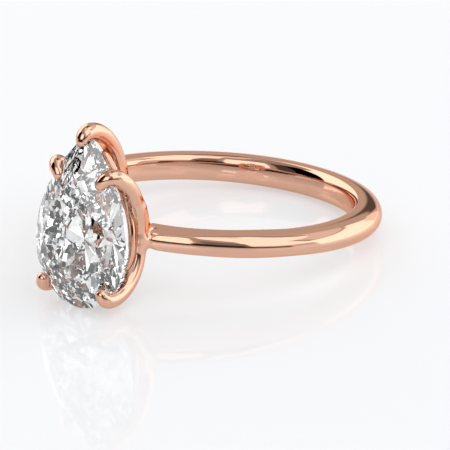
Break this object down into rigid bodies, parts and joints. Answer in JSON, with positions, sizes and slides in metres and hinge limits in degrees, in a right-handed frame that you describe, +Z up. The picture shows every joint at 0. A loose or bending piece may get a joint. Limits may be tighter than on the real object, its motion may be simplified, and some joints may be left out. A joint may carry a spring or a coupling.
{
  "type": "engagement ring",
  "caption": "Solitaire engagement ring: a pear-cut diamond held by round claws on a slim, tapering rose-gold shank, lying on its side.",
  "frame": {"origin": "centre of the finger hole, on the shank's middle plane", "axes": "+Z up from the surface that the ring lies on, with the stone's point up; -Y from the finger hole towards the head, level with the surface; the finger axis leans 8 degrees from +Z towards +Y"},
  "size_m": [0.0202, 0.0242, 0.011],
  "materials": {
    "rose_gold": "mirror-polished 14 carat rose gold",
    "diamond": "polished, colourless, refractive index 2.42"
  },
  "bodies": {
    "root": {"shank": "rose_gold", "base_rail": "rose_gold", "gallery_rail": "rose_gold", "tip_claw": "rose_gold", "upper_right_claw": "rose_gold", "upper_left_claw": "rose_gold", "lower_right_claw": "rose_gold", "lower_left_claw": "rose_gold", "diamond": "diamond"}
  },
  "joints": []
}
